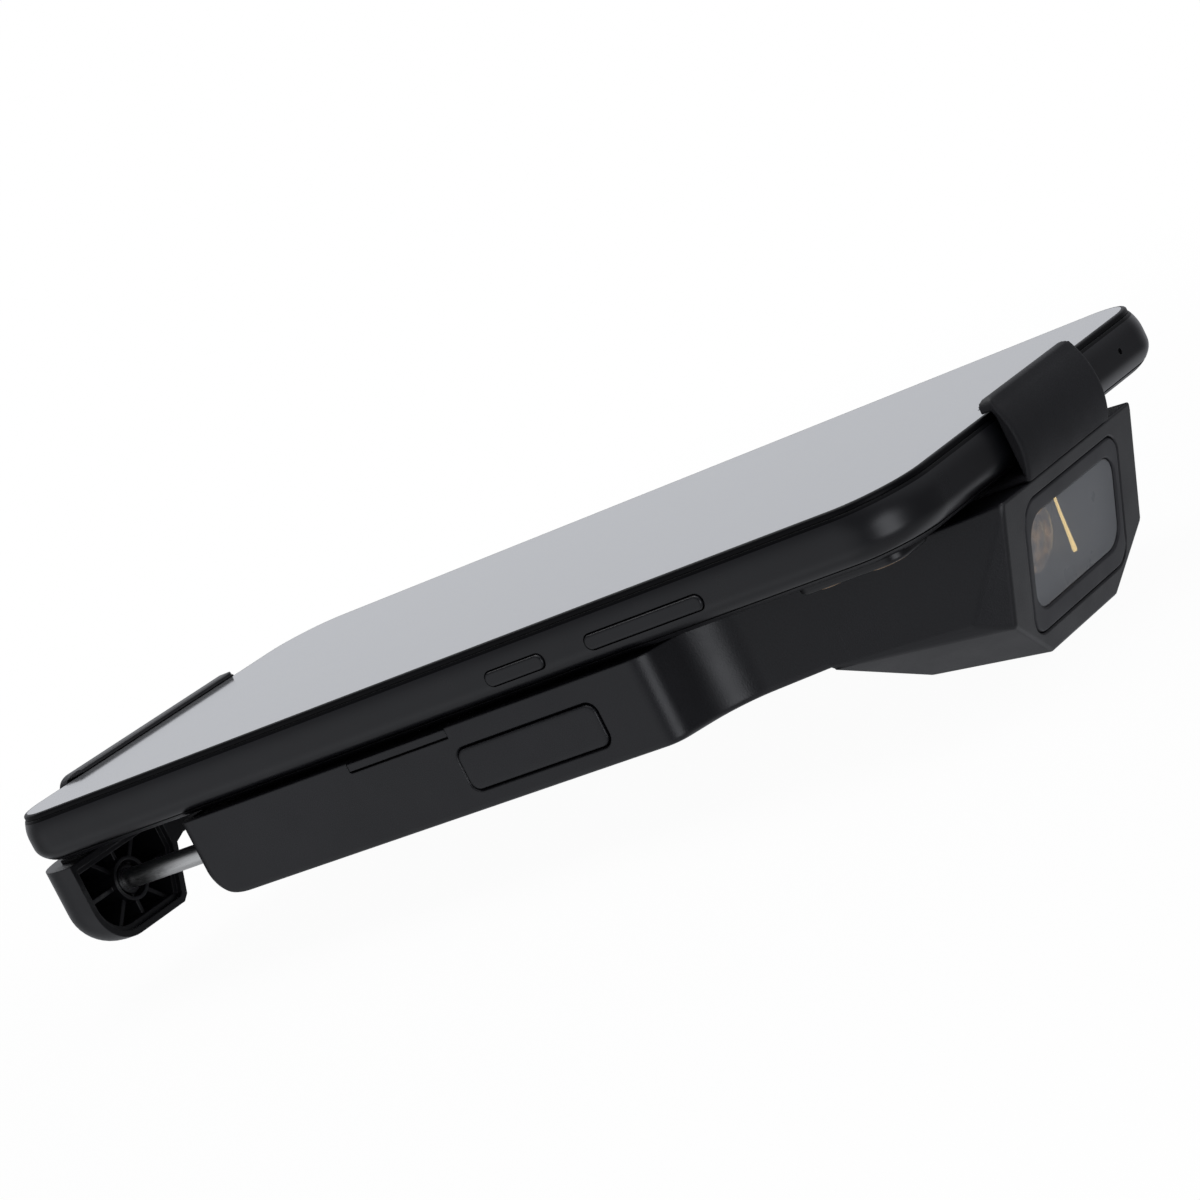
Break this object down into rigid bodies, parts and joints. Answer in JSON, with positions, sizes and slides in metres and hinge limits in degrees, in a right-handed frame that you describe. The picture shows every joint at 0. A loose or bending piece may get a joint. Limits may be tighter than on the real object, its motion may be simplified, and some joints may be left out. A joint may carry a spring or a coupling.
{
  "type": "handheld data collector",
  "caption": "Flat phone held on a scanner sled: wide grip with side triggers, waisted neck, tilted scan head, fixed top hook and a sprung end clamp on two steel rods.",
  "frame": {"origin": "middle of the footprint, on the surface that the scan head's lower edge and the clamp's ears stand on", "axes": "+X along the phone towards the scan head, +Y across it to the side without the phone's keys, +Z out of the screen"},
  "size_m": [0.1677, 0.0768, 0.0329],
  "materials": {
    "housing": "satin moulded plastic with a fine spark texture",
    "hook": "soft-touch matte",
    "key": "satin moulded plastic",
    "bezel": "fine satin",
    "rubber": "matte",
    "window": "polished grey tinted pane",
    "amber": "polished amber",
    "lens": "coated dark glass",
    "module": "satin",
    "board": "solder mask",
    "chip": "matte",
    "battery": "shrink film",
    "light_pipe": "clear diffusing plastic",
    "bush": "sintered bronze",
    "steel": "ground and polished",
    "phone_frame": "gloss black anodised look",
    "phone_back": "gloss black",
    "screen": "polished glass over a light grey blank screen"
  },
  "bodies": {
    "sled": {"lower_shell": "housing", "bed_tray": "housing", "bed_pads": "rubber", "top_hook": "hook", "top_hook_pad": "rubber", "hook_screws": "steel", "window_bezel": "bezel", "scan_window": "window", "scan_engine_body": "module", "scan_lens": "lens", "aimer_lens": "amber", "main_board": "board", "board_chips": "chip", "battery_pack": "battery", "usb_socket": "steel", "buzzer": "chip", "status_light_pipe": "light_pipe", "trigger_switches": "chip", "rod_bushes": "bush", "housing_screws": "steel", "return_spring_left": "steel", "return_spring_right": "steel", "phone_frame": "phone_frame", "phone_back_cover": "phone_back", "screen_glass": "screen", "display_panel": "module", "phone_battery": "battery", "phone_board": "board", "phone_socket": "steel", "phone_speaker": "chip", "sim_tray": "phone_frame", "rear_camera": "phone_frame", "camera_lenses": "lens", "earpiece_grille": "chip"},
    "clamp": {"clamp_block": "housing", "clamp_pad": "rubber", "guide_rod_left": "steel", "guide_rod_right": "steel", "rod_collars": "steel", "rod_screws": "steel"},
    "trigger_left": {"trigger_left": "key"},
    "trigger_right": {"trigger_right": "key"},
    "power_button": {"power_button": "phone_frame"},
    "volume_rocker": {"volume_rocker": "phone_frame"}
  },
  "joints": [
    {"name": "clamp_slide", "type": "slide", "parent": "sled", "child": "clamp", "axis": [-1, 0, 0], "range_m": [0, 0.018], "stiffness_N_per_m": 150, "springref_m": -0.03, "deforming": ["return_spring_left", "return_spring_right"]},
    {"name": "trigger_left_press", "type": "slide", "parent": "sled", "child": "trigger_left", "axis": [0, -1, 0], "range_m": [0, 0.0006], "stiffness_N_per_m": 1500, "springref_m": -0.0004},
    {"name": "trigger_right_press", "type": "slide", "parent": "sled", "child": "trigger_right", "axis": [0, 1, 0], "range_m": [0, 0.0006], "stiffness_N_per_m": 1500, "springref_m": -0.0004},
    {"name": "power_button_press", "type": "slide", "parent": "sled", "child": "power_button", "axis": [0, 1, 0], "range_m": [0, 0.00025], "stiffness_N_per_m": 2000, "springref_m": -0.0003},
    {"name": "volume_rocker_tilt", "type": "hinge", "parent": "sled", "child": "volume_rocker", "pos_m": [0.04085, -0.03675, 0.0265], "axis": [0, 0, 1], "range_deg": [-1.2, 1.2], "stiffness_Nm_per_rad": 0.12}
  ]
}
